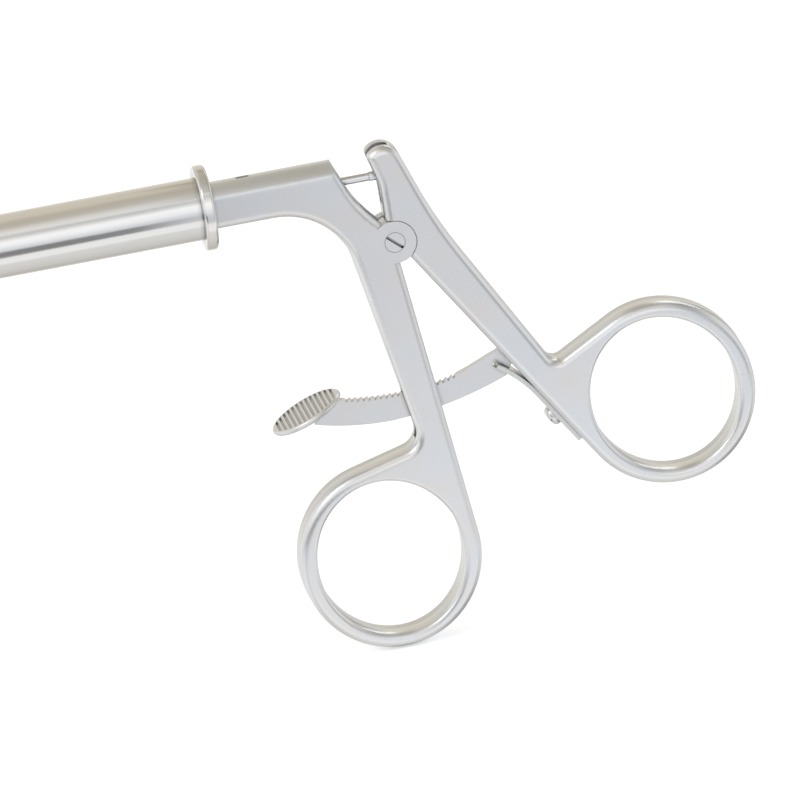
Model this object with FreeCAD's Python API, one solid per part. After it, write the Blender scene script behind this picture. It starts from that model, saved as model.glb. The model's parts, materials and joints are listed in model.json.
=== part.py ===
import FreeCAD, Part
import math
import os

# Laparoscopic grasper with ring handles, lengths in millimetres, angles in degrees.
# The handle lies in the XZ plane and is the same on both sides of y = 0.
# X runs along the shaft, with the jaws towards -X. Z is up, and the finger rings hang down.
# The origin is on the shaft's axis, at the flange's front face, where a trocar stops.

# Fits
seat_gap = 0.03
running_gap = 0.06
side_gap = 0.05

# Shaft
tube_radius = 5.0
tube_wall = 0.6
working_length = 330.0
flange_radius = 6.8
flange_thickness = 1.9
flange_edge = 0.45
flange_spigot_length = 8.0
spacer_length = 6.0
spacer_count = 3

# Handle plates and barrel
plate_half = 3.2
outer_round = 1.15
hole_round = 0.6
beak_round = 0.8
pin_skin = 0.8
barrel_top_radius = 3.85
barrel_bottom = -3.1
barrel_end_top = (21.6, 3.9)
barrel_end_foot = (23.5, -0.7)
barrel_mark = (7.6, 2.0, 0.8, 0.25)
barrel_stub_radius = 2.4
barrel_stub_length = 1.2
rear_bore_radius = 0.9
gland_bore_radius = 1.6
gland_start = 9.0
gland_bush_length = 5.0
gland_ring_length = 1.6
gland_nut_length = 3.0

# Main pivot
pivot = (29.6, -10.5)
ear_radius = 3.45
tongue_half = 1.2
pivot_screw_radius = 1.2
pivot_head_radius = 1.62
pivot_head_height = 1.2
pivot_slot_angle = -42.0
screw_slot_width = 0.45
screw_slot_depth = 0.8
closing_angle = 20.0
opening_angle = 10.0

# Finger rings, as ovals: half width and half length of the hole, and the two walls
ring_hole_half_width = 11.75
ring_hole_half_length = 12.95
ring_side_wall = 2.65
ring_end_wall = 1.95
front_ring_centre = (21.65, -61.95)
front_ring_tilt = 14.0
rear_ring_centre = (68.55, -43.65)
rear_ring_tilt = 20.0

# Front handle outline
front_underside_corner = (21.0, barrel_bottom)
front_underside_radius = 12.0
front_ring_corner = (29.2, -44.6)
front_ring_corner_radius = 3.0
front_notch_angle = -83.0
front_shoulder_angle = 118.0
front_hollow = (25.1, -3.8)
barrel_end_round = 0.6
fork_mouth_centre = (27.1, -5.6)
fork_mouth_radius = 2.3

# Rear handle outline
rear_notch_angle = -54.0
rear_back_corner = (37.2, -9.4)
rear_back_radius = 80.0
rear_ring_corner = (51.9, -35.7)
rear_ring_corner_radius = 1.7
arm_top_centre = (29.81, 2.1)
arm_top_radius = 2.96
arm_beak_angle = 146.0
arm_front_knee = (28.7, -1.0)
arm_front_knee_radius = 8.0
arm_front_low = (28.8, -8.0)
rod_slot_half = 0.82
rod_slot_floor = -4.7
rod_slot_back_wall = 0.95

# Pull rod and its rear end
rod_radius = 0.65
drive_rod_radius = 1.3
drive_rod_end = -14.0
rod_collar_radius = 0.75
rod_collar_start = 27.4
rod_pin_x = 30.2
rod_pin_radius = 0.6
rod_eye_half = 0.65
rod_eye_wall = 0.75
rod_eye_play = 0.12
rod_travel_per_radian = 10.2

# Ratchet, its arcs and angles measured about the main pivot
ratchet_tip_radius = 25.15
bar_depth = 4.05
catch_gap = 0.15
window_play = 4.1
window_half_angle = 18.0
window_half = 1.0
bar_half = 0.65
bar_top_angles = (-118.0, -106.0, -95.0, -87.0, -80.0, -73.84, -65.5, -57.5)
bar_top_drops = (2.65, 1.27, 0.5, 0.2, 0.05, 0.0, 0.0, 0.4)
bar_foot_angles = (-120.6, -110.0, -98.1, -77.0, -60.5)
bar_foot_drops = (3.35, 1.95, 0.8, -0.2, 0.5)
tooth_pitch = 0.92
tooth_depth = 0.42
tooth_land = 0.14
toothed_length = 19.0
ratchet_hinge_angle = -52.42
ratchet_hinge_drop = 2.23
ratchet_eye_radius = 2.0
ratchet_pin_radius = 0.9
ratchet_release = 6.0
bar_slot_clearance = 0.35
pad_place_angle = -124.8
pad_drop = 5.9
pad_edge = 0.25
pad_angle = 22.2
pad_half_length = 6.1
pad_half_width = 5.3
pad_thickness = 0.85
pad_rim = 0.45
pad_groove_pitch = 0.825
pad_groove_depth = 0.3

# Ratchet leaf spring
spring_thickness = 0.7
spring_half_width = 2.1
spring_seat_drop = 16.75
spring_seat_length = 10.3
spring_free_length = 8.3
spring_bend_radius = 20.0
spring_screw_from_start = 5.35
spring_screw_head_radius = 1.65
spring_screw_head_height = 1.2
spring_screw_radius = 0.9
spring_screw_depth = 2.6
spring_notch_clearance = 0.13

# Jaws and yoke
jaw_length = 26.0
jaw_rest_angle = 17.0
jaw_radius = 4.5
jaw_tip_radius = 2.5
jaw_taper_length = 15.0
jaw_meeting_gap = 0.05
jaw_window_half = 1.5
jaw_tooth_pitch = 1.1
jaw_tooth_depth = 0.4
jaw_pin_radius = 1.0
jaw_hub_radius = 2.5
tail_inner = 0.65
tail_outer = 2.1
cam_pin_radius = 0.75
cam_rest = 4.6
cam_wall = 0.8
yoke_front = 3.0
yoke_step = 0.4
yoke_slot_back = 11.4
yoke_length = 12.2
yoke_spigot_length = 8.0
blade_half = 0.6
blade_height_half = 1.4
slider_radius = 2.0
slider_length = 8.0

tube_bore_radius = tube_radius - tube_wall
jaw_pivot_x = jaw_length - working_length
tube_end_x = jaw_pivot_x + yoke_length
ear_inner = tongue_half + side_gap
ratchet_foot_radius = ratchet_tip_radius + bar_depth
window_foot_radius = ratchet_foot_radius + window_play
spring_seat_start = ratchet_tip_radius + spring_seat_drop
pivot_height = -pivot[1]


def point(xz, y=0.0):
    return FreeCAD.Vector(xz[0], y, xz[1])


def polar(centre, radius, angle):
    a = math.radians(angle)
    return (centre[0] + radius * math.cos(a), centre[1] + radius * math.sin(a))


def about_pivot(radius, angle):
    return polar(pivot, radius, angle)


def unit(start, end):
    length = math.dist(start, end)
    return ((end[0] - start[0]) / length, (end[1] - start[1]) / length)


def step(start, direction, distance):
    return (start[0] + direction[0] * distance, start[1] + direction[1] * distance)


def line(start, end):
    return Part.LineSegment(point(start), point(end)).toShape()


def arc(start, middle, end):
    return Part.Arc(point(start), point(middle), point(end)).toShape()


def corner(before, at, after, radius):
    """The two tangent points and the middle of the arc that rounds a corner."""
    back = unit(at, before)
    on = unit(at, after)
    half = math.acos(back[0] * on[0] + back[1] * on[1]) / 2.0
    reach = radius / math.tan(half)
    bisector = unit((0.0, 0.0), (back[0] + on[0], back[1] + on[1]))
    middle = step(at, bisector, radius / math.sin(half) - radius)
    return step(at, back, reach), middle, step(at, on, reach)


def rounded_path(stations):
    """Edges through (x, z, radius) stations, each inner corner rounded by its radius."""
    edges = []
    at = stations[0][:2]
    for before, here, after in zip(stations, stations[1:], stations[2:]):
        if here[2] > 0.0:
            start, middle, end = corner(before[:2], here[:2], after[:2], here[2])
            edges.append(line(at, start))
            edges.append(arc(start, middle, end))
            at = end
        else:
            edges.append(line(at, here[:2]))
            at = here[:2]
    edges.append(line(at, stations[-1][:2]))
    return edges


def face_of(edges):
    return Part.Face(Part.Wire(Part.__sortEdges__(edges)))


def slab(face, low, high):
    """The face in the XZ plane, as a solid from y = low to y = high."""
    moved = face.copy()
    moved.translate(FreeCAD.Vector(0, low, 0))
    return moved.extrude(FreeCAD.Vector(0, high - low, 0))


def cross_pin(centre, radius, low, high):
    base = point(centre, low)
    return Part.makeCylinder(radius, high - low, base, FreeCAD.Vector(0, 1, 0))


def shaft_pin(start, end, radius, z=0.0):
    base = FreeCAD.Vector(start, 0, z)
    return Part.makeCylinder(radius, end - start, base, FreeCAD.Vector(1, 0, 0))


def turned(profile):
    """A solid of revolution about the shaft's axis, from (x, radius) points."""
    points = [FreeCAD.Vector(x, 0, r) for x, r in profile]
    face = Part.Face(Part.makePolygon(points + [points[0]]))
    return face.revolve(FreeCAD.Vector(), FreeCAD.Vector(1, 0, 0), 360)


def polygon_slab(points, low, high):
    vectors = [point(p, low) for p in points]
    face = Part.Face(Part.makePolygon(vectors + [vectors[0]]))
    return face.extrude(FreeCAD.Vector(0, high - low, 0))


def save(shape, name):
    shape.exportStep("parts/" + name + ".step")


ratchet_hinge = about_pivot(ratchet_tip_radius + ratchet_hinge_drop, ratchet_hinge_angle)
pad_centre = about_pivot(ratchet_tip_radius + pad_drop, pad_place_angle)


# Finger rings
class Oval:
    """An ellipse in the XZ plane, its long axis leaning from +Z towards -X by the tilt."""

    def __init__(self, centre, tilt, half_width, half_length):
        self.centre = centre
        a = math.radians(tilt)
        self.across = (math.cos(a), math.sin(a))
        self.along = (-math.sin(a), math.cos(a))
        self.half_width = half_width
        self.half_length = half_length

    def curve(self):
        long_end = step(self.centre, self.along, self.half_length)
        side = step(self.centre, self.across, self.half_width)
        return Part.Ellipse(point(long_end), point(side), point(self.centre))

    def at(self, angle):
        on = step(self.centre, self.across, self.half_width * math.cos(angle))
        return step(on, self.along, self.half_length * math.sin(angle))

    def tangent_angle(self, outside, side):
        """The angle where a line from the outside point touches, on side +1 or -1."""
        dx = outside[0] - self.centre[0]
        dz = outside[1] - self.centre[1]
        u = (dx * self.across[0] + dz * self.across[1]) / self.half_width
        v = (dx * self.along[0] + dz * self.along[1]) / self.half_length
        return math.atan2(v, u) + side * math.acos(1.0 / math.hypot(u, v))

    def arc_between(self, first, last):
        curve = self.curve()
        start = curve.parameter(point(self.at(first)))
        end = curve.parameter(point(self.at(last)))
        middle = self.at((first + last) / 2.0)
        candidate = Part.Arc(curve, start, end)
        if candidate.toShape().distToShape(Part.Vertex(point(middle)))[0] > 0.01:
            candidate = Part.Arc(curve, end, start)
        return candidate.toShape()

    def disc(self, low, high):
        return slab(Part.Face(Part.Wire(self.curve().toShape())), low, high)


def ring_outer(centre, tilt):
    half_width = ring_hole_half_width + ring_side_wall
    half_length = ring_hole_half_length + ring_end_wall
    return Oval(centre, tilt, half_width, half_length)


def ring_hole(centre, tilt):
    return Oval(centre, tilt, ring_hole_half_width, ring_hole_half_length)


def on_face(edge, half):
    """Whether the edge lies whole on one of the plate's two faces."""
    ys = [v.Y for v in edge.Vertexes]
    ys.append(middle_of(edge).y)
    return all(abs(abs(y) - half) < 1e-4 for y in ys)


def middle_of(edge):
    return edge.valueAt((edge.FirstParameter + edge.LastParameter) / 2.0)


def near(edge, place, reach):
    middle = middle_of(edge)
    return math.dist((middle.x, middle.z), place) < reach


def soften(shape, wanted, radius):
    """Rounds the plate's face edges that the test accepts."""
    chosen = [e for e in shape.Edges if on_face(e, plate_half) and wanted(e)]
    return shape.makeFillet(radius, chosen)


# Front handle: barrel, shank and ring in one forging
def front_plate():
    oval = ring_outer(front_ring_centre, front_ring_tilt)
    notch = polar(pivot, ear_radius, front_notch_angle)
    shoulder = polar(pivot, ear_radius, front_shoulder_angle)
    right = oval.tangent_angle(notch, -1)
    left = oval.tangent_angle(front_ring_corner, 1)
    upper = [barrel_end_foot + (0.0,)]
    upper.append(barrel_end_top + (barrel_end_round,))
    upper.append((flange_thickness, barrel_end_top[1], 0.0))
    upper.append((flange_thickness, barrel_bottom, 0.0))
    upper.append(front_underside_corner + (front_underside_radius,))
    upper.append(front_ring_corner + (front_ring_corner_radius,))
    upper.append(oval.at(left) + (0.0,))
    edges = rounded_path(upper)
    edges.append(oval.arc_between(left, right + 2.0 * math.pi))
    edges.append(line(oval.at(right), notch))
    edges.append(arc(notch, polar(pivot, ear_radius, 10.0), shoulder))
    edges.append(arc(shoulder, front_hollow, barrel_end_foot))
    return slab(face_of(edges), -plate_half, plate_half)


def barrel_rounding():
    """What the barrel's round top takes off the plate's two upper corners."""
    length = barrel_end_foot[0] - flange_thickness + 2.0
    height = 4.0
    corner_z = math.sqrt(barrel_top_radius ** 2 - plate_half ** 2)
    base = FreeCAD.Vector(flange_thickness, -2.0 * plate_half, corner_z)
    block = Part.makeBox(length, 4.0 * plate_half, height, base)
    return block.cut(shaft_pin(0.0, length + 4.0, barrel_top_radius))


def barrel_dimple():
    """A small shallow pocket on the barrel's ridge: its middle, length, width and depth."""
    middle, length, width, depth = barrel_mark
    base = FreeCAD.Vector(middle - length / 2.0, -width / 2.0, barrel_top_radius - depth)
    return Part.makeBox(length, width, 1.0, base)


def ring_sector(inner, outer, first, last, low, high):
    """A sector of a flat ring about the main pivot."""
    middle = (first + last) / 2.0
    edges = [line(polar(pivot, inner, first), polar(pivot, outer, first))]
    edges.append(arc(polar(pivot, outer, first), polar(pivot, outer, middle), polar(pivot, outer, last)))
    edges.append(line(polar(pivot, outer, last), polar(pivot, inner, last)))
    edges.append(arc(polar(pivot, inner, last), polar(pivot, inner, middle), polar(pivot, inner, first)))
    return slab(face_of(edges), low, high)


def front_handle():
    body = front_plate()

    def outside(edge):
        below = middle_of(edge).z < barrel_bottom - 0.05
        return below and not near(edge, pivot, ear_radius + 1.5)

    body = soften(body, outside, outer_round)
    body = body.cut(barrel_rounding())
    hole = ring_hole(front_ring_centre, front_ring_tilt)
    body = body.cut(hole.disc(-plate_half - 1.0, plate_half + 1.0))
    reach = ring_hole_half_length + 0.01
    body = soften(body, lambda edge: near(edge, front_ring_centre, reach), hole_round)
    fork_radius = ear_radius + 0.25
    fork = cross_pin(pivot, fork_radius, -ear_inner, ear_inner)
    fork = fork.fuse(cross_pin(fork_mouth_centre, fork_mouth_radius, -ear_inner, ear_inner))
    body = body.cut(fork)
    catch_radius = ratchet_tip_radius - catch_gap
    first = -90.0 - window_half_angle
    last = -90.0 + window_half_angle
    window = ring_sector(catch_radius, window_foot_radius, first, last, -window_half, window_half)
    body = body.cut(window)
    screw_hole = cross_pin(pivot, pivot_screw_radius + seat_gap, -plate_half - 1, plate_half + 1)
    head_low = -plate_half - 1.0
    head_high = -plate_half + pivot_head_height + seat_gap
    screw_hole = screw_hole.fuse(cross_pin(pivot, pivot_head_radius + seat_gap, head_low, head_high))
    body = body.cut(screw_hole)
    stub_start = flange_thickness - barrel_stub_length
    body = body.fuse(shaft_pin(stub_start, flange_thickness + 0.5, barrel_stub_radius))
    body = body.cut(shaft_pin(0.0, barrel_end_foot[0] + 2.0, rear_bore_radius))
    body = body.cut(barrel_dimple())
    gland_end = gland_start + gland_bush_length + gland_ring_length
    return body.cut(shaft_pin(0.0, gland_end, gland_bore_radius)).removeSplitter()


def pivot_screw():
    body = cross_pin(pivot, pivot_screw_radius, -plate_half + 0.2, plate_half)
    head = cross_pin(pivot, pivot_head_radius, -plate_half, -plate_half + pivot_head_height)
    body = body.fuse(head)
    length = 2.0 * pivot_head_radius + 1.0
    base = FreeCAD.Vector(-length / 2.0, -plate_half - 1.0, -screw_slot_width / 2.0)
    slot = Part.makeBox(length, 1.0 + screw_slot_depth, screw_slot_width, base)
    slot.rotate(FreeCAD.Vector(), FreeCAD.Vector(0, 1, 0), -pivot_slot_angle)
    slot.translate(point(pivot))
    return body.cut(slot)


# Parts round the rod, inside the barrel
def sleeve(start, end, outer, inner, edge=0.0):
    body = shaft_pin(start, end, outer)
    if edge > 0.0:
        rims = [e for e in body.Edges if e.Closed]
        body = body.makeChamfer(edge, rims)
    return body.cut(shaft_pin(start - 1.0, end + 1.0, inner))


def gland_ring():
    """The packing ring, a hair clear of its bore and of the rod."""
    end = gland_start + gland_ring_length
    return sleeve(gland_start, end, gland_bore_radius - seat_gap, rod_radius + seat_gap)


def gland_nut():
    end = gland_start
    body = sleeve(end - gland_nut_length, end, gland_bore_radius - seat_gap, rod_radius + 0.2)
    slot_base = FreeCAD.Vector(end - gland_nut_length, -gland_bore_radius, -screw_slot_width / 2.0)
    slot = Part.makeBox(0.7, 2.0 * gland_bore_radius, screw_slot_width, slot_base)
    return body.cut(slot)


# Shaft
def tube_flange():
    disc = shaft_pin(0.0, flange_thickness, flange_radius)
    rims = [e for e in disc.Edges if e.Closed]
    disc = disc.makeFillet(flange_edge, rims)
    spigot = shaft_pin(-flange_spigot_length, 0.1, tube_bore_radius - seat_gap)
    body = disc.fuse(spigot)
    stub_start = flange_thickness - barrel_stub_length - seat_gap
    body = body.cut(shaft_pin(stub_start, flange_thickness + 1.0, barrel_stub_radius + seat_gap))
    return body.cut(shaft_pin(-flange_spigot_length - 1.0, 3.0, gland_bore_radius + 0.1))


def rod_spacers():
    solids = []
    clear_length = -tube_end_x - flange_spigot_length - yoke_spigot_length
    for i in range(spacer_count):
        centre = -flange_spigot_length - clear_length * (i + 1) / (spacer_count + 1)
        start = centre - spacer_length / 2.0
        outer = tube_bore_radius - seat_gap
        inner = drive_rod_radius + running_gap
        solids.append(sleeve(start, start + spacer_length, outer, inner, 0.5))
    return Part.makeCompound(solids)


def pull_rod():
    start = jaw_pivot_x + slider_end()
    profile = [(start, 0.0), (start, drive_rod_radius), (drive_rod_end, drive_rod_radius)]
    profile.append((drive_rod_end + 1.2, rod_radius))
    profile.append((rod_collar_start, rod_radius))
    profile.append((rod_collar_start, 0.0))
    return turned(profile)


def rod_eye():
    """The flat eye that the rear handle's cross pin rides in, with its collar."""
    offset = math.degrees(math.atan2(rod_pin_x - pivot[0], pivot_height))
    arm = math.hypot(rod_pin_x - pivot[0], pivot_height)
    lowest = arm * math.cos(math.radians(closing_angle + offset)) - pivot_height
    slot_radius = rod_pin_radius + rod_eye_play
    outer = slot_radius + rod_eye_wall
    neck_start = rod_collar_start + 1.3
    body = shaft_pin(rod_collar_start, neck_start, rod_collar_radius)
    neck = [(neck_start, rod_eye_half), (rod_pin_x, rod_eye_half), (rod_pin_x, -rod_eye_half)]
    neck.append((neck_start, -rod_eye_half))
    body = body.fuse(polygon_slab(neck, -rod_eye_half, rod_eye_half))
    flat = eye_outline(outer, lowest, rod_eye_half)
    slot = eye_outline(slot_radius, lowest, rod_eye_half + 1.0)
    return body.fuse(flat).cut(slot).removeSplitter()


def eye_outline(radius, lowest, half):
    top = (rod_pin_x, 0.0)
    foot = (rod_pin_x, lowest)
    edges = [arc(step(top, (1, 0), radius), step(top, (0, 1), radius), step(top, (-1, 0), radius))]
    edges.append(line(step(top, (-1, 0), radius), step(foot, (-1, 0), radius)))
    low = step(foot, (0, -1), radius)
    edges.append(arc(step(foot, (-1, 0), radius), low, step(foot, (1, 0), radius)))
    edges.append(line(step(foot, (1, 0), radius), step(top, (1, 0), radius)))
    return slab(face_of(edges), -half, half)


# Rear handle
def arm_top_touch(outside, side):
    """Where a line from the outside point touches the arm's round top."""
    toward = unit(arm_top_centre, outside)
    angle = math.degrees(math.atan2(toward[1], toward[0]))
    swing = math.degrees(math.acos(arm_top_radius / math.dist(arm_top_centre, outside)))
    return polar(arm_top_centre, arm_top_radius, angle + side * swing)


def rear_plate():
    oval = ring_outer(rear_ring_centre, rear_ring_tilt)
    notch, along = rear_edge()
    inner = oval.tangent_angle(notch, 1)
    outer = oval.tangent_angle(rear_ring_corner, -1)
    back = arm_top_touch(rear_back_corner, 1)
    beak = polar(arm_top_centre, arm_top_radius, arm_beak_angle)
    path = [back + (0.0,)]
    path.append(rear_back_corner + (rear_back_radius,))
    path.append(rear_ring_corner + (rear_ring_corner_radius,))
    path.append(oval.at(outer) + (0.0,))
    edges = rounded_path(path)
    edges.append(oval.arc_between(inner - 2.0 * math.pi, outer))
    inner_end = step(notch, along, -0.6)
    inner_turn = step(inner_end, (-along[1], along[0]), 1.5)
    edges.append(line(oval.at(inner), inner_end))
    edges.append(line(inner_end, inner_turn))
    knee = arm_front_knee + (arm_front_knee_radius,)
    edges += rounded_path([inner_turn, arm_front_low + (0.0,), knee, beak])
    edges.append(arc(beak, polar(arm_top_centre, arm_top_radius, 90.0), back))
    body = slab(face_of(edges), -plate_half, plate_half)
    beak_edges = [e for e in body.Edges if near(e, beak, 0.01)]
    return body.makeFillet(beak_round, beak_edges)


def rod_slot():
    """The saw cut down the arm's middle, open to the front and over the top."""
    back = arm_top_touch(rear_back_corner, 1)
    to_corner = unit(back, rear_back_corner)
    inward = (to_corner[1], -to_corner[0])
    high = step(step(back, inward, rod_slot_back_wall), to_corner, -6.0)
    drop = (high[1] - rod_slot_floor) / -to_corner[1]
    low = step(high, to_corner, drop)
    front = (low[0] - 12.0, low[1])
    outline = [high, low, front, (front[0], high[1])]
    return polygon_slab(outline, -rod_slot_half, rod_slot_half)


def bar_slot():
    """The slot in the rear shank that holds the ratchet bar's eye."""
    half = ratchet_eye_radius + bar_slot_clearance
    width = bar_half + running_gap
    body = cross_pin(ratchet_hinge, half, -width, width)
    entry = polar(pivot, (ratchet_tip_radius + ratchet_foot_radius) / 2.0, -63.0)
    along = unit(ratchet_hinge, entry)
    across = (-along[1], along[0])
    end = step(ratchet_hinge, along, 8.0)
    top = step(ratchet_hinge, across, -half)
    foot = step(ratchet_hinge, across, half)
    spread = 0.9
    end_top = step(end, across, -half - spread)
    end_foot = step(end, across, half + spread)
    return body.fuse(polygon_slab([top, foot, end_foot, end_top], -width, width))


def rear_edge():
    """The rear shank's inner edge: a point on it and its direction towards the ring."""
    oval = ring_outer(rear_ring_centre, rear_ring_tilt)
    notch = polar(pivot, ear_radius, rear_notch_angle)
    return notch, unit(notch, oval.at(oval.tangent_angle(notch, 1)))


def spring_screw_place():
    start, along = rear_edge()
    distance = spring_seat_start - spring_screw_from_start
    return step(start, along, distance), (along[1], -along[0])


def along_pin(base, direction, radius, length):
    vector = FreeCAD.Vector(direction[0], 0, direction[1])
    return Part.makeCylinder(radius, length, point(base), vector)


def rear_handle():
    body = rear_plate()

    def back_side(edge):
        return middle_of(edge).x > pivot[0] and not near(edge, pivot, ear_radius + 0.1)

    body = soften(body, back_side, outer_round)
    hole = ring_hole(rear_ring_centre, rear_ring_tilt)
    body = body.cut(hole.disc(-plate_half - 1.0, plate_half + 1.0))
    reach = ring_hole_half_length + 0.01
    body = soften(body, lambda edge: near(edge, rear_ring_centre, reach), hole_round)
    shoulder = ear_radius + 0.1
    for side in (-1, 1):
        low, high = sorted((side * tongue_half, side * (plate_half + 1.0)))
        body = body.cut(cross_pin(pivot, shoulder, low, high))
    tongue = cross_pin(pivot, ear_radius - 0.1, -tongue_half, tongue_half)
    body = body.fuse(tongue)
    body = body.cut(cross_pin(pivot, pivot_screw_radius + running_gap, -5.0, 5.0))
    body = body.cut(rod_slot())
    body = body.cut(bar_slot())
    hole_end = pin_skin - plate_half - seat_gap
    beyond = plate_half + 1.0
    body = body.cut(cross_pin((rod_pin_x, 0.0), rod_pin_radius + seat_gap, hole_end, beyond))
    body = body.cut(cross_pin(ratchet_hinge, ratchet_pin_radius + seat_gap, hole_end, beyond))
    place, outward = spring_screw_place()
    inner_end = step(place, outward, -spring_screw_depth)
    screw_hole = along_pin(inner_end, outward, spring_screw_radius + seat_gap, spring_screw_depth + 1.0)
    return body.cut(screw_hole).removeSplitter()


def blind_pin(centre, radius):
    """A pin set in from the far face, whose end stays under the near face."""
    return cross_pin(centre, radius, pin_skin - plate_half, plate_half)


# Ratchet
def bar_top():
    """The bar's smooth upper edge, from under the pad to the hinge."""
    radii = [ratchet_tip_radius + drop for drop in bar_top_drops]
    curve = Part.BSplineCurve()
    curve.interpolate([point(about_pivot(r, a)) for r, a in zip(radii, bar_top_angles)])
    return curve


def edge_place(curve, distance):
    """The point at a distance along the upper edge, and the way from it into the bar."""
    at = curve.parameterAtDistance(distance, curve.FirstParameter)
    place = curve.value(at)
    tangent = curve.tangent(at)[0]
    return (place.x, place.z), (tangent.z, -tangent.x)


def tooth_gap(curve, distance):
    """One gullet: a steep wall on the hinge side of a tip and a slope up to the next tip."""
    first, inward = edge_place(curve, distance)
    bottom = step(first, inward, tooth_depth)
    last, far_inward = edge_place(curve, distance + tooth_pitch - tooth_land)
    above_last = step(last, far_inward, -0.3)
    above_first = step(first, inward, -0.3)
    return polygon_slab([bottom, last, above_last, above_first], -bar_half - 1.0, bar_half + 1.0)


def pad_frame():
    along = polar((0.0, 0.0), 1.0, pad_angle)
    down = (along[1], -along[0])
    return along, down


def ratchet_bar():
    hinge_top = polar(ratchet_hinge, ratchet_eye_radius, 100.0)
    hinge_foot = polar(ratchet_hinge, ratchet_eye_radius, -110.0)
    top = bar_top()
    top_left = (top.StartPoint.x, top.StartPoint.z)
    top_right = (top.EndPoint.x, top.EndPoint.z)
    foot_radii = [ratchet_foot_radius + drop for drop in bar_foot_drops]
    foot = [about_pivot(r, a) for r, a in zip(foot_radii, bar_foot_angles)]
    foot_left, foot_quarter, foot_lowest, foot_middle, foot_right = foot
    edges = [arc(hinge_top, polar(ratchet_hinge, ratchet_eye_radius, 0.0), hinge_foot)]
    edges.append(line(hinge_foot, foot_right))
    edges.append(arc(foot_right, foot_middle, foot_lowest))
    edges.append(arc(foot_lowest, foot_quarter, foot_left))
    edges.append(line(foot_left, top_left))
    edges.append(top.toShape())
    edges.append(line(top_right, hinge_top))
    body = slab(face_of(edges), -bar_half, bar_half)
    along, down = pad_frame()
    base = step(pad_centre, down, pad_thickness)
    far = 20.0
    cutter = [step(base, along, -far), step(base, along, far)]
    cutter.append(step(cutter[1], down, -far))
    cutter.append(step(cutter[0], down, -far))
    body = body.cut(polygon_slab(cutter, -5.0, 5.0))
    plain_angle = math.radians(bar_top_angles[-1] - bar_top_angles[-3])
    end = top.length() - plain_angle * ratchet_tip_radius
    count = int(toothed_length / tooth_pitch)
    gullets = [tooth_gap(top, end - tooth_pitch * (i + 1)) for i in range(count)]
    body = body.cut(Part.makeCompound(gullets))
    body = body.cut(cross_pin(ratchet_hinge, ratchet_pin_radius + running_gap, -5.0, 5.0))
    return body.cut(spring_notch()).removeSplitter()


def turned_about_hinge(at, angle):
    a = math.radians(angle)
    dx = at[0] - ratchet_hinge[0]
    dz = at[1] - ratchet_hinge[1]
    x = ratchet_hinge[0] + dx * math.cos(a) + dz * math.sin(a)
    return (x, ratchet_hinge[1] - dx * math.sin(a) + dz * math.cos(a))


def spring_notch():
    """The notch under the bar that takes the leaf's end, wide enough for a pressed bar."""
    clear = spring_notch_clearance
    turn = spring_free_length / spring_bend_radius
    end = turn + clear / spring_bend_radius
    turns = (turn * 0.35, turn * 0.7, end)
    upper = [turned_about_hinge(spring_edge_point(t, -clear), ratchet_release) for t in turns]
    lower = [spring_edge_point(t, spring_thickness + clear) for t in reversed(turns)]
    upper.append(turned_about_hinge(lower[0], ratchet_release))
    return polygon_slab(upper + lower, -bar_half - 1.0, bar_half + 1.0)


def ratchet_pad():
    """An oval finger pad, grooved across inside a plain rim, built flat and then tilted."""
    oval = Part.Ellipse(FreeCAD.Vector(), pad_half_length, pad_half_width)
    face = Part.Face(Part.Wire(oval.toShape()))
    body = face.extrude(FreeCAD.Vector(0, 0, -pad_thickness))
    rims = [e for e in body.Edges if e.Closed]
    body = body.makeChamfer(pad_edge, rims)
    inner = Part.Ellipse(FreeCAD.Vector(), pad_half_length - pad_rim, pad_half_width - pad_rim)
    field = Part.Face(Part.Wire(inner.toShape())).extrude(FreeCAD.Vector(0, 0, -pad_thickness))
    count = int(pad_half_length / pad_groove_pitch - 0.9)
    half = pad_groove_pitch * 0.27
    grooves = []
    for i in range(-count, count + 1):
        x = i * pad_groove_pitch
        corners = [(x - half, 0.1), (x + half, 0.1), (x + half * 0.6, -pad_groove_depth)]
        corners.append((x - half * 0.6, -pad_groove_depth))
        grooves.append(polygon_slab(corners, -pad_half_width, pad_half_width))
    body = body.cut(Part.makeCompound(grooves).common(field))
    body.rotate(FreeCAD.Vector(), FreeCAD.Vector(0, 1, 0), -pad_angle)
    body.translate(point(pad_centre))
    return body


def spring_edge_point(turn, offset):
    """A point on the leaf's bent part, after a turn, that far from its inner face."""
    start, along = rear_edge()
    outward = (along[1], -along[0])
    bend = step(start, along, spring_seat_start - spring_seat_length)
    centre = step(bend, outward, spring_bend_radius)
    radius = spring_bend_radius - offset
    side = step(centre, outward, -radius * math.cos(turn))
    return step(side, along, -radius * math.sin(turn))


def ratchet_spring():
    """A leaf screwed to the rear shank, whose free end bends off into the bar's notch."""
    start, along = rear_edge()
    outward = (along[1], -along[0])
    foot = step(start, along, spring_seat_start)
    turn = spring_free_length / spring_bend_radius
    inner = [spring_edge_point(turn * i, 0.0) for i in (0.0, 0.5, 1.0)]
    outer = [spring_edge_point(turn * i, spring_thickness) for i in (0.0, 0.5, 1.0)]
    edges = [line(foot, inner[0]), arc(inner[0], inner[1], inner[2])]
    edges.append(line(inner[2], outer[2]))
    edges.append(arc(outer[2], outer[1], outer[0]))
    foot_outer = step(foot, outward, spring_thickness)
    edges.append(line(outer[0], foot_outer))
    edges.append(line(foot_outer, foot))
    body = slab(face_of(edges), -spring_half_width, spring_half_width)
    place, outward = spring_screw_place()
    hole = along_pin(step(place, outward, -1.0), outward, spring_screw_radius + seat_gap, 3.0)
    return body.cut(hole)


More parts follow.
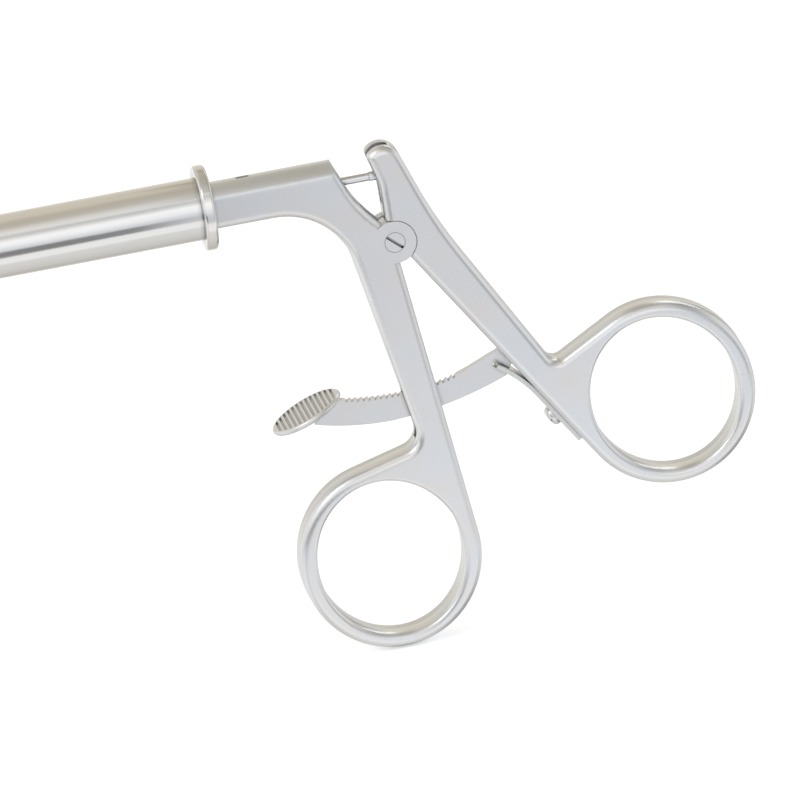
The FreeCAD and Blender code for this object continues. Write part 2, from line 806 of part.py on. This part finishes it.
def spring_screw():
    place, outward = spring_screw_place()
    under_head = step(place, outward, spring_thickness)
    base = step(place, outward, -spring_screw_depth + 0.1)
    body = along_pin(base, outward, spring_screw_radius, spring_screw_depth + spring_thickness)
    head = along_pin(under_head, outward, spring_screw_head_radius, spring_screw_head_height)
    top = step(under_head, outward, spring_screw_head_height)
    rims = [e for e in head.Edges if e.Closed and e.CenterOfMass.distanceToPoint(point(top)) < 0.01]
    head = head.makeFillet(spring_screw_head_height * 0.7, rims)
    body = body.fuse(head)
    across = (-outward[1], outward[0])
    low = step(top, outward, -0.35)
    half = screw_slot_width / 2.0
    corners = [step(low, across, -half), step(low, across, half)]
    corners.append(step(corners[1], outward, 1.0))
    corners.append(step(corners[0], outward, 1.0))
    return body.cut(polygon_slab(corners, -3.0, 3.0))


# Jaws
def cam_point(travel):
    """The cam pin in the closed upper jaw's frame, measured from the jaw pivot."""
    per_radian = math.radians(jaw_rest_angle) / math.radians(closing_angle) / rod_travel_per_radian
    opened = math.radians(jaw_rest_angle) - travel * per_radian
    reach = cam_rest + travel
    return (reach * math.cos(opened), reach * math.sin(opened))


def cam_track(radius):
    """The curved slot that the cam pin runs in, or the tail round it."""
    low = -math.radians(opening_angle) * rod_travel_per_radian
    high = math.radians(closing_angle) * rod_travel_per_radian
    count = 6
    middle = [cam_point(low + (high - low) * i / count) for i in range(count + 1)]
    left = []
    right = []
    for i, at in enumerate(middle):
        before = middle[max(i - 1, 0)]
        after = middle[min(i + 1, count)]
        along = unit(before, after)
        left.append(step(at, (-along[1], along[0]), radius))
        right.append(step(at, (along[1], -along[0]), radius))
    first = unit(middle[1], middle[0])
    last = unit(middle[-2], middle[-1])
    edges = [smooth_edge(left)]
    edges.append(arc(left[-1], step(middle[-1], last, radius), right[-1]))
    edges.append(smooth_edge(right))
    edges.append(arc(left[0], step(middle[0], first, radius), right[0]))
    return face_of(edges)


def smooth_edge(points):
    spline = Part.BSplineCurve()
    spline.interpolate([point(p) for p in points])
    return spline.toShape()


def jaw_blank():
    """The closed upper jaw's working end: half a bullet with a slanted back."""
    taper_start = -jaw_length + jaw_taper_length
    outline = [(-3.3, 0.0), (-3.3, jaw_radius), (taper_start, jaw_radius)]
    blunt = -jaw_length + jaw_tip_radius
    edges = [line(outline[0], outline[1]), line(outline[1], outline[2])]
    shoulder = (blunt, jaw_tip_radius + 0.35)
    edges.append(line(outline[2], shoulder))
    tip = (-jaw_length, 0.0)
    edges.append(arc(shoulder, (-jaw_length + 0.75, jaw_tip_radius * 0.66), tip))
    edges.append(line(tip, outline[0]))
    body = face_of(edges).revolve(FreeCAD.Vector(), FreeCAD.Vector(1, 0, 0), 360)
    wide = 3.0 * jaw_radius
    base = FreeCAD.Vector(-jaw_length - 1.0, -wide / 2.0, jaw_meeting_gap - wide)
    body = body.cut(Part.makeBox(jaw_length + wide, wide, wide, base))
    relief = [(-3.3, 0.0), (-7.2, jaw_radius + 1.0), (1.0, jaw_radius + 1.0), (1.0, 0.0)]
    return body.cut(polygon_slab(relief, -6.0, 6.0))


def closed_jaw():
    body = jaw_blank()
    window_start = -jaw_length + 5.5
    window_end = -9.5
    cutter = Part.makeBox(window_end - window_start, 2.0 * jaw_window_half, 8.0,
                          FreeCAD.Vector(window_start, -jaw_window_half, -1.0))
    for x in (window_start, window_end):
        round_end = Part.makeCylinder(jaw_window_half, 8.0, FreeCAD.Vector(x, 0, -1.0))
        cutter = cutter.fuse(round_end)
    body = body.cut(cutter)
    count = int((jaw_length - 8.0) / jaw_tooth_pitch)
    half = jaw_tooth_pitch * 0.42
    grooves = []
    for i in range(count):
        x = -jaw_length + 1.8 + i * jaw_tooth_pitch
        corners = [(x - half, -0.2), (x + half, -0.2), (x + 0.1, jaw_meeting_gap + jaw_tooth_depth)]
        grooves.append(polygon_slab(corners, -8.0, 8.0))
    body = body.cut(Part.makeCompound(grooves))
    neck = [(-6.2, jaw_meeting_gap), (-6.2, 3.1), (-3.4, 3.1), (-0.4, jaw_hub_radius)]
    neck += [(1.0, 1.0), (0.0, 0.0), (-jaw_hub_radius, jaw_meeting_gap)]
    plate = polygon_slab(neck, tail_inner, tail_outer)
    plate = plate.fuse(cross_pin((0.0, 0.0), jaw_hub_radius, tail_inner, tail_outer))
    tail = slab(cam_track(cam_pin_radius + running_gap + cam_wall), tail_inner, tail_outer)
    plate = plate.fuse(tail)
    body = body.fuse(plate)
    slot = slab(cam_track(cam_pin_radius + running_gap), -5.0, 5.0)
    body = body.cut(slot)
    return body.cut(cross_pin((0.0, 0.0), jaw_pin_radius + running_gap, -5.0, 5.0)).removeSplitter()


def jaw(upper):
    body = closed_jaw()
    if not upper:
        body.rotate(FreeCAD.Vector(), FreeCAD.Vector(1, 0, 0), 180)
    angle = jaw_rest_angle if upper else -jaw_rest_angle
    body.rotate(FreeCAD.Vector(), FreeCAD.Vector(0, 1, 0), angle)
    body.translate(FreeCAD.Vector(jaw_pivot_x, 0, 0))
    return body


def jaw_yoke():
    """The fork at the shaft's tip, slotted through for both jaws and their tails."""
    head_end = yoke_length
    edges = [arc((0.0, yoke_front), (-yoke_front, 0.0), (0.0, -yoke_front))]
    edges.append(line((0.0, -yoke_front), (3.2, -tube_radius - 1.0)))
    edges.append(line((3.2, -tube_radius - 1.0), (head_end, -tube_radius - 1.0)))
    edges.append(line((head_end, -tube_radius - 1.0), (head_end, tube_radius + 1.0)))
    edges.append(line((head_end, tube_radius + 1.0), (3.2, tube_radius + 1.0)))
    edges.append(line((3.2, tube_radius + 1.0), (0.0, yoke_front)))
    side = slab(face_of(edges), -tube_radius - 1.0, tube_radius + 1.0)
    head = shaft_pin(-yoke_front - 1.0, head_end, tube_radius - yoke_step).common(side)
    spigot = shaft_pin(head_end - 0.5, head_end + yoke_spigot_length, tube_bore_radius - seat_gap)
    body = head.fuse(spigot)
    slot_half = tail_outer + side_gap
    base = FreeCAD.Vector(-yoke_front - 2.0, -slot_half, -tube_radius - 1.0)
    length = yoke_slot_back + yoke_front + 2.0
    body = body.cut(Part.makeBox(length, 2.0 * slot_half, 2.0 * tube_radius + 2.0, base))
    bore_end = yoke_length + yoke_spigot_length + 1.0
    body = body.cut(shaft_pin(yoke_slot_back - 1.0, bore_end, slider_radius + running_gap))
    body = body.cut(cross_pin((0.0, 0.0), jaw_pin_radius + seat_gap, -8.0, 8.0))
    body.translate(FreeCAD.Vector(jaw_pivot_x, 0, 0))
    return body


def jaw_pin():
    half = math.sqrt((tube_radius - yoke_step) ** 2 - jaw_pin_radius ** 2) - 0.05
    return cross_pin((jaw_pivot_x, 0.0), jaw_pin_radius, -half, half)


def slider_start():
    return yoke_slot_back - 0.6 + math.radians(opening_angle) * rod_travel_per_radian


def slider_end():
    return slider_start() + slider_length


def rod_slider():
    """The rod's front end: a round slide in the yoke and a thin blade between the tails."""
    body = shaft_pin(slider_start(), slider_end(), slider_radius)
    nose = cam_rest
    half = blade_height_half
    root = slider_start() + 1.0
    edges = [arc((nose, half), (nose - half, 0.0), (nose, -half))]
    edges.append(line((nose, -half), (root, -half)))
    edges.append(line((root, -half), (root, half)))
    edges.append(line((root, half), (nose, half)))
    body = body.fuse(slab(face_of(edges), -blade_half, blade_half))
    body = body.cut(cross_pin((nose, 0.0), cam_pin_radius, -3.0, 3.0))
    body.translate(FreeCAD.Vector(jaw_pivot_x, 0, 0))
    return body


def main():
    os.makedirs("parts", exist_ok=True)
    save(front_handle(), "front_handle")
    save(pivot_screw(), "pivot_screw")
    ring_end = gland_start + gland_ring_length
    bush = sleeve(ring_end, ring_end + gland_bush_length, gland_bore_radius - seat_gap,
                  rod_radius + running_gap)
    save(bush, "rod_bush")
    save(gland_ring(), "gland_seal_ring")
    save(gland_nut(), "gland_nut")
    save(tube_flange(), "tube_flange")
    save(sleeve(tube_end_x, 0.0, tube_radius, tube_bore_radius), "outer_tube")
    save(rod_spacers(), "rod_spacers")
    save(jaw_yoke(), "jaw_yoke")
    save(jaw_pin(), "jaw_pin")
    save(rear_handle(), "rear_handle")
    save(blind_pin((rod_pin_x, 0.0), rod_pin_radius), "rod_pin")
    save(blind_pin(ratchet_hinge, ratchet_pin_radius), "ratchet_pin")
    save(ratchet_spring(), "ratchet_spring")
    save(spring_screw(), "spring_screw")
    save(ratchet_bar(), "ratchet_bar")
    save(ratchet_pad(), "ratchet_pad")
    save(pull_rod(), "pull_rod")
    save(rod_eye(), "rod_eye")
    save(rod_slider(), "rod_slider")
    cam_half = tail_outer
    save(cross_pin((jaw_pivot_x + cam_rest, 0.0), cam_pin_radius, -cam_half, cam_half), "cam_pin")
    save(jaw(True), "upper_jaw")
    save(jaw(False), "lower_jaw")


main()
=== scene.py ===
import json
import math
import bpy
from mathutils import Matrix, Vector


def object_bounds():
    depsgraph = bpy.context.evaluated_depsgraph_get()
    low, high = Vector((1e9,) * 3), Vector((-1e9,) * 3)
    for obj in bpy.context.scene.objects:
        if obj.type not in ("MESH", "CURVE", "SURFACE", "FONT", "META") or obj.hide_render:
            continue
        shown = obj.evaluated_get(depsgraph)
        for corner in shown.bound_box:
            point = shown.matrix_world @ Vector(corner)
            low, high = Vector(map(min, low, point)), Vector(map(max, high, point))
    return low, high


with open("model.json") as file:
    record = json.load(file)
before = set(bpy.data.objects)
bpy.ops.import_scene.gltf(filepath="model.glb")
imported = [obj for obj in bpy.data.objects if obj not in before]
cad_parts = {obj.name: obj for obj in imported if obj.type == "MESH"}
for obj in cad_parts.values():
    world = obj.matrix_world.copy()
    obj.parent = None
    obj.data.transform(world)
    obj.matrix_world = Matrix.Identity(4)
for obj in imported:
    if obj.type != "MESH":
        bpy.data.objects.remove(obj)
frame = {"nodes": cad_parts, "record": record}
cad_low, cad_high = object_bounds()
nodes = frame["nodes"]

# Lengths are in metres and brightness is 1 for white, unless a comment says otherwise.

# Camera: the direction and roll of the photograph, from far away.
RIGHT = Vector((0.976, -0.1645, -0.143)).normalized()
UP = Vector((0.186, 0.285, 0.940))
UP = (UP - RIGHT * UP.dot(RIGHT)).normalized()
BACK = RIGHT.cross(UP)
AIM = RIGHT * 0.031685 - UP * 0.030063 - BACK * 0.008
DISTANCE = 5.0
PICTURE_WIDTH = 0.8 / 6.35
SENSOR_WIDTH = 36.0    # in millimetres
CLIP_START = 0.05
CLIP_END = 60.0

# Places on the object, in X and Z.
PLATE_HALF = 0.0032
SCREW_CENTRE = (0.0296, -0.0105)
SCREW_HEAD_RADIUS = 0.00162
BARREL_END = (0.0240, 0.0250)    # the barrel fades out between these two X
BARREL_FLOOR = (-0.0045, -0.0065)    # and between these two Z

# What all finishes share. Noise scales are in waves per metre.
NOISE_RANGE = (0.3, 0.7)    # the part of a noise's values that is spread out
BROAD_SCALE = 60.0
PATCH_SCALE = 150.0
WEAR = 0.02    # how far the marks move the level
FINE_ROUGH = 0.02
BROAD_ROUGH = (-0.02, 0.03)
HUE_SHIFT = (1.0, -0.5, -2.0)    # the red, green and blue of a warm patch, for a drift of 1
BUMP_HEIGHT = 0.0001
# Painted shade: ambient occlusion darkens the colour in crevices and between parts, down to a
# finish's darkest level.
PAINTED_SHADE_REACH = 0.0009
PAINTED_SHADE_POWER = 0.55
PAINTED_SHADE_SAMPLES = 8
EDGE = 0.00015    # the radius of the softened edges
EDGE_SAMPLES = 4
BARREL_EDGE = 0.0008
# The darkest level of the painted crevice shade on the front handle's barrel.
BARREL_DARKEST = 0.8
RIM_SHADE_WIDTH = (0.00003, 0.00014)    # the painted shade line on the screw's rim fades out between these distances
# How dark the painted shade line on the main screw's rim is.
RIM_SHADE_LEVEL = 0.78

ALONG_X = (0.02, 1.0, 1.0)
STEEL = (0.785, 0.79, 0.80)
# A finish's darkest is the lowest level of its painted crevice shade.
FINISHES = {
    "handle_steel": dict(colour=STEEL, rough=0.30, crown=0.6),
    "tube_steel": dict(colour=(0.77, 0.765, 0.76), rough=0.15, stretch=ALONG_X, grain=1800.0,
                       bump=0.04, drift=0.03),
    "ratchet_steel": dict(colour=(0.765, 0.77, 0.785), rough=0.34, darkest=0.68),
    "screw_steel": dict(colour=STEEL, rough=0.28),
    "spring_steel": dict(colour=(0.73, 0.73, 0.72), rough=0.24),
    "rod_steel": dict(colour=(0.74, 0.745, 0.76), rough=0.15, stretch=ALONG_X),
    "jaw_steel": dict(colour=(0.75, 0.75, 0.76), rough=0.30),
    "spacer": dict(colour=(0.80, 0.80, 0.76), rough=0.5, metal=0.0),
    "seal": dict(colour=(0.02, 0.02, 0.02), rough=0.6, metal=0.0, bump=0.05),
}

# The surroundings that the metal mirrors. Each stop is an angle in degrees about X, counted
# up from straight ahead (-Y) over the top to the back, with its brightness and its warmth.
ROOM = [
    (-180, 0.84, 0.10), (-170, 1.00, 0.04), (-152, 0.92, 0.04), (-126, 0.56, 0.05),
    (-95, 0.74, 0.05), (-52, 0.88, 0.02), (-34, 0.80, -0.03), (-12, 0.80, -0.04),
    (2, 0.90, -0.03), (12, 1.10, 0.0), (28, 1.22, 0.0), (40, 0.80, 0.02), (47, 0.66, 0.02),
    (56, 0.98, 0.02), (68, 0.82, 0.05), (82, 0.60, 0.10), (100, 0.55, 0.14), (120, 0.70, 0.15),
    (140, 0.70, 0.15), (162, 0.74, 0.13), (180, 0.84, 0.10),
]
# The same along X, where the sides of the tent take over from the room. Each stop is a share
# of the direction's length, from -1 for the shaft's end to 1 for the rings' end.
SIDES = [
    (-1.0, 0.88, 0.0), (-0.84, 1.18, 0.0), (-0.72, 1.03, 0.0), (-0.54, 0.58, 0.03),
    (-0.32, 0.74, 0.0), (0.32, 0.50, 0.0), (0.50, 0.16, 0.0), (0.68, 0.26, 0.0),
    (0.86, 1.03, 0.0), (1.0, 0.72, 0.0),
]
SIDE_FADE = (0.24, 0.48)    # the shares along X between which the sides fade in
SIDE_SHARE = 0.65    # how much of the room they replace at most
RED_WARMTH = 0.4    # how much of a warmth goes into red, beside what blue loses

FLOOR_SIZE = 12.0
FLOOR_GAP = 0.0002
FLOOR_COLOUR = (0.845, 0.86, 0.895, 1.0)
FLOOR_GLOW = 0.50

# The cards that only metal mirrors: name, centre, tilt in degrees (90 stands a card up), width,
# height, brightness and warmth.
CARDS = [
    ("dark_card", (-0.16, -0.14, -0.040), 90.0, 0.34, 0.055, 0.28, 0.0),
    ("white_card", (0.10, -0.25, -0.23), 90.0, 0.50, 0.20, 1.08, 0.0),
    ("roof_card", (0.0665, 0.040, 0.160), 0.0, 0.097, 0.30, 0.44, 0.15),
    ("back_card", (0.40, 0.42, 0.35), 0.0, 0.44, 0.16, 2.2, 0.0),
]

KEY_PLACE = (-0.9, -0.7, 1.1)
KEY_AIM = (0.02, 0.0, -0.03)
KEY_SIZE = 0.7
KEY_POWER = 2.0    # in watts

# The colour sockets of a Mix node, which has more sockets of the same names.
MIX_FIRST, MIX_SECOND, MIX_RESULT = 6, 7, 2


def make_camera():
    data = bpy.data.cameras.new("camera")
    data.sensor_width = SENSOR_WIDTH
    data.lens = SENSOR_WIDTH * DISTANCE / PICTURE_WIDTH
    data.clip_start = CLIP_START
    data.clip_end = CLIP_END
    camera = bpy.data.objects.new("camera", data)
    bpy.context.scene.collection.objects.link(camera)
    turn = Matrix((RIGHT, UP, BACK)).transposed().to_4x4()
    camera.matrix_world = Matrix.Translation(AIM + BACK * DISTANCE) @ turn
    bpy.context.scene.camera = camera


class Nodes:
    """A small wrapper for building a node tree."""

    def __init__(self, tree):
        self.tree = tree
        tree.nodes.clear()

    def add(self, kind, **values):
        node = self.tree.nodes.new(kind)
        for name, value in values.items():
            setattr(node, name, value)
        return node

    def link(self, source, target):
        self.tree.links.new(source, target)

    def give(self, socket, value):
        """Set a number or colour on a socket, or link another node's output to it."""
        if isinstance(value, (int, float, tuple)):
            socket.default_value = value
        else:
            self.link(value, socket)

    def math(self, operation, a, b=0.0):
        node = self.add("ShaderNodeMath", operation=operation)
        self.give(node.inputs[0], a)
        self.give(node.inputs[1], b)
        return node.outputs[0]

    def split(self, vector):
        """The X, Y and Z of a vector, by name."""
        node = self.add("ShaderNodeSeparateXYZ")
        self.link(vector, node.inputs["Vector"])
        return node.outputs

    def between(self, value, start, end, low=0.0, high=1.0, kind="LINEAR"):
        """A number that goes from low to high while the value goes from start to end."""
        node = self.add("ShaderNodeMapRange", interpolation_type=kind)
        self.link(value, node.inputs["Value"])
        node.inputs["From Min"].default_value = start
        node.inputs["From Max"].default_value = end
        node.inputs["To Min"].default_value = low
        node.inputs["To Max"].default_value = high
        return node.outputs["Result"]

    def spread(self, noise, low, high):
        return self.between(noise, *NOISE_RANGE, low, high)

    def blend(self, share, first, second):
        """A colour that goes from the first to the second while the share goes from 0 to 1."""
        node = self.add("ShaderNodeMix", data_type="RGBA")
        self.link(share, node.inputs["Factor"])
        self.give(node.inputs[MIX_FIRST], first)
        self.give(node.inputs[MIX_SECOND], second)
        return node.outputs[MIX_RESULT]

    def noise(self, vector, scale, detail=2.0, stretch=(1.0, 1.0, 1.0)):
        mapping = self.add("ShaderNodeMapping")
        mapping.inputs["Scale"].default_value = stretch
        self.link(vector, mapping.inputs["Vector"])
        node = self.add("ShaderNodeTexNoise")
        node.inputs["Scale"].default_value = scale
        node.inputs["Detail"].default_value = detail
        self.link(mapping.outputs["Vector"], node.inputs["Vector"])
        return node.outputs["Fac"]


def new_material(name):
    """A material with the wrapper of its empty node tree, and the socket for its surface."""
    material = bpy.data.materials.new(name)
    material.use_nodes = True
    n = Nodes(material.node_tree)
    return material, n, n.add("ShaderNodeOutputMaterial").inputs["Surface"]


def screw_rim_shade(n, where):
    """A factor of painted shade, standing in for a chamfer's shade: darker on the rim of the main
    screw's flush head, and 1 elsewhere.
    """
    place = n.split(where)
    off_x = n.math("SUBTRACT", place["X"], SCREW_CENTRE[0])
    off_z = n.math("SUBTRACT", place["Z"], SCREW_CENTRE[1])
    square = n.math("ADD", n.math("MULTIPLY", off_x, off_x), n.math("MULTIPLY", off_z, off_z))
    off_rim = n.math("SUBTRACT", n.math("SQRT", square), SCREW_HEAD_RADIUS)
    return n.between(n.math("ABSOLUTE", off_rim), *RIM_SHADE_WIDTH, RIM_SHADE_LEVEL, 1.0, "SMOOTHSTEP")


def off_barrel(n, where):
    """0 on the front handle's round barrel and 1 on the flat shanks and rings."""
    place = n.split(where)
    behind = n.between(place["X"], *BARREL_END)
    below = n.between(place["Z"], *BARREL_FLOOR)
    return n.math("MAXIMUM", behind, below)


def crowned(n, normal, where, amount):
    """The normal, bulged by an amount on the walls between the handles' faces, as polish does."""
    facing = n.split(normal)
    wall = n.math("SUBTRACT", 1.0, n.math("MULTIPLY", facing["Y"], facing["Y"]))
    share = n.math("DIVIDE", amount, PLATE_HALF)
    across = n.math("MULTIPLY", n.split(where)["Y"], share)
    bulge = n.add("ShaderNodeCombineXYZ")
    n.link(n.math("MULTIPLY", across, wall), bulge.inputs["Y"])
    total = n.add("ShaderNodeVectorMath", operation="ADD")
    n.link(normal, total.inputs[0])
    n.link(bulge.outputs["Vector"], total.inputs[1])
    even = n.add("ShaderNodeVectorMath", operation="NORMALIZE")
    n.link(total.outputs["Vector"], even.inputs[0])
    return even.outputs["Vector"]


def finish_material(name, colour, rough, metal=1.0, stretch=(1.0, 1.0, 1.0), grain=3200.0,
                    bump=0.015, drift=0.015, crown=0.0, darkest=0.2):
    """A procedural finish: fine grain, broad handling marks, a slight bump, painted shade in
    crevices and a painted shade line on the main screw's rim.

    Only the handles have a crown, and with it the barrel's own edge and painted crevice shade.
    """
    material, n, surface = new_material(name)
    shader = n.add("ShaderNodeBsdfPrincipled")
    n.link(shader.outputs["BSDF"], surface)
    where = n.add("ShaderNodeTexCoord").outputs["Object"]
    edge = EDGE
    if crown:
        flat = off_barrel(n, where)
        darkest = n.between(flat, 0.0, 1.0, BARREL_DARKEST, darkest)
        edge = n.between(flat, 0.0, 1.0, BARREL_EDGE, EDGE)

    fine = n.noise(where, grain, 2.0, stretch)
    broad = n.noise(where, BROAD_SCALE, 3.0)
    marks = n.math("ADD", n.spread(fine, 1.0 - WEAR, 1.0 + WEAR), n.spread(broad, -WEAR, WEAR))
    # Painted shade: ambient occlusion darkens the colour in crevices and between parts.
    painted_shade_ao = n.add("ShaderNodeAmbientOcclusion", samples=PAINTED_SHADE_SAMPLES)
    painted_shade_ao.inputs["Distance"].default_value = PAINTED_SHADE_REACH
    painted_crevice_shade = n.math("MAXIMUM", n.math("POWER", painted_shade_ao.outputs["AO"], PAINTED_SHADE_POWER), darkest)
    # The level holds the random marks, the painted crevice shade and the painted shade line on
    # the screw's rim.
    level = n.math("MULTIPLY", n.math("MULTIPLY", marks, painted_crevice_shade), screw_rim_shade(n, where))
    warm = tuple(c * (1.0 + s * drift) for c, s in zip(colour, HUE_SHIFT))
    cool = tuple(c * (1.0 - s * drift) for c, s in zip(colour, HUE_SHIFT))
    patches = n.spread(n.noise(where, PATCH_SCALE, 2.0, stretch), 0.0, 1.0)
    shade = n.add("ShaderNodeVectorMath", operation="SCALE")
    n.link(n.blend(patches, warm + (1.0,), cool + (1.0,)), shade.inputs[0])
    n.link(level, shade.inputs["Scale"])
    n.link(shade.outputs["Vector"], shader.inputs["Base Color"])

    fine_rough = n.spread(fine, rough - FINE_ROUGH, rough + FINE_ROUGH)
    n.link(n.math("ADD", fine_rough, n.spread(broad, *BROAD_ROUGH)), shader.inputs["Roughness"])
    shader.inputs["Metallic"].default_value = metal

    rounded = n.add("ShaderNodeBevel", samples=EDGE_SAMPLES)
    n.give(rounded.inputs["Radius"], edge)
    relief = n.add("ShaderNodeBump")
    relief.inputs["Strength"].default_value = bump
    relief.inputs["Distance"].default_value = BUMP_HEIGHT
    n.link(fine, relief.inputs["Height"])
    n.link(rounded.outputs["Normal"], relief.inputs["Normal"])
    normal = relief.outputs["Normal"]
    if crown:
        normal = crowned(n, normal, where, n.math("MULTIPLY", flat, crown))
    n.link(normal, shader.inputs["Normal"])
    return material


def dress_nodes():
    materials = {name: finish_material(name, **finish) for name, finish in FINISHES.items()}
    slots = {s["node"]: s["material_slot"] for s in frame["record"]["subparts"]}
    for name, piece in nodes.items():
        piece.data.materials.clear()
        piece.data.materials.append(materials[slots[name]])


def tinted(brightness, warmth):
    """A grey of that brightness, warm for a positive and cool for a negative warmth."""
    red = brightness * (1.0 + warmth * RED_WARMTH)
    return (red, brightness, brightness * (1.0 - warmth), 1.0)


def brightness_ramp(n, position, stations, low, high):
    """A ramp of greys over stations whose places run from low to high."""
    ramp = n.add("ShaderNodeValToRGB")
    n.link(position, ramp.inputs["Fac"])
    stops = ramp.color_ramp.elements
    for i, (place, brightness, warmth) in enumerate(stations):
        share = (place - low) / (high - low)
        stop = stops[i] if i < 2 else stops.new(share)    # a new ramp has two stops
        stop.position = share
        stop.color = tinted(brightness, warmth)
    return ramp.outputs["Color"]


def make_world():
    """A light tent with darker seams beside and overhead, that the camera sees as plain white."""
    world = bpy.data.worlds.new("world")
    bpy.context.scene.world = world
    world.use_nodes = True
    n = Nodes(world.node_tree)
    out = n.add("ShaderNodeOutputWorld")
    direction = n.split(n.add("ShaderNodeTexCoord").outputs["Generated"])
    ahead = n.math("MULTIPLY", direction["Y"], -1.0)
    angle = n.math("ARCTAN2", direction["Z"], ahead)
    turn = n.math("ADD", n.math("MULTIPLY", angle, 0.5 / math.pi), 0.5)
    across = n.math("ADD", n.math("MULTIPLY", direction["X"], 0.5), 0.5)
    aside = n.math("ABSOLUTE", direction["X"])
    share = n.between(aside, *SIDE_FADE, 0.0, SIDE_SHARE, "SMOOTHSTEP")
    room = brightness_ramp(n, turn, ROOM, -180.0, 180.0)
    sides = brightness_ramp(n, across, SIDES, -1.0, 1.0)
    tent = n.add("ShaderNodeBackground")
    n.link(n.blend(share, room, sides), tent.inputs["Color"])
    white = n.add("ShaderNodeBackground")
    white.inputs["Color"].default_value = (1.0, 1.0, 1.0, 1.0)
    mix = n.add("ShaderNodeMixShader")
    n.link(n.add("ShaderNodeLightPath").outputs["Is Camera Ray"], mix.inputs["Fac"])
    n.link(tent.outputs[0], mix.inputs[1])
    n.link(white.outputs[0], mix.inputs[2])
    n.link(mix.outputs[0], out.inputs["Surface"])
    world.cycles.sampling_method = "NONE"    # so soft a tent needs no importance map


def make_floor():
    """A pale floor that reads white to the camera but keeps the object's shadow."""
    place = (0.0, 0.0, cad_low.z - FLOOR_GAP)
    bpy.ops.mesh.primitive_plane_add(size=FLOOR_SIZE, location=place)
    floor = bpy.context.object
    floor.name = "floor"
    material, n, surface = new_material("floor")
    diffuse = n.add("ShaderNodeBsdfDiffuse")
    diffuse.inputs["Color"].default_value = FLOOR_COLOUR
    glow = n.add("ShaderNodeEmission")
    seen = n.add("ShaderNodeLightPath").outputs["Is Camera Ray"]
    n.link(n.math("MULTIPLY", seen, FLOOR_GLOW), glow.inputs["Strength"])
    both = n.add("ShaderNodeAddShader")
    n.link(diffuse.outputs[0], both.inputs[0])
    n.link(glow.outputs[0], both.inputs[1])
    n.link(both.outputs[0], surface)
    floor.data.materials.append(material)
    floor.visible_glossy = False


def make_card(name, centre, tilt, width, height, brightness, warmth):
    """A card beside the object, which only its metal mirrors."""
    turned = (math.radians(tilt), 0.0, 0.0)
    bpy.ops.mesh.primitive_plane_add(size=1.0, location=centre, rotation=turned)
    card = bpy.context.object
    card.name = name
    card.scale = (width, height, 1.0)
    material, n, surface = new_material(name)
    sheet = n.add("ShaderNodeEmission")
    sheet.inputs["Color"].default_value = tinted(brightness, warmth)
    n.link(sheet.outputs[0], surface)
    card.data.materials.append(material)
    card.visible_camera = False
    card.visible_diffuse = False
    card.visible_shadow = False


def make_key_light():
    data = bpy.data.lights.new("key", "AREA")
    data.shape = "RECTANGLE"
    data.size = KEY_SIZE
    data.size_y = KEY_SIZE
    data.energy = KEY_POWER
    light = bpy.data.objects.new("key", data)
    bpy.context.scene.collection.objects.link(light)
    light.location = KEY_PLACE
    light.rotation_mode = "QUATERNION"
    light.rotation_quaternion = (Vector(KEY_PLACE) - Vector(KEY_AIM)).to_track_quat("Z", "Y")
    light.visible_camera = False


bpy.context.scene.view_settings.view_transform = "Standard"
make_camera()
dress_nodes()
make_world()
make_floor()
for card in CARDS:
    make_card(*card)
make_key_light()
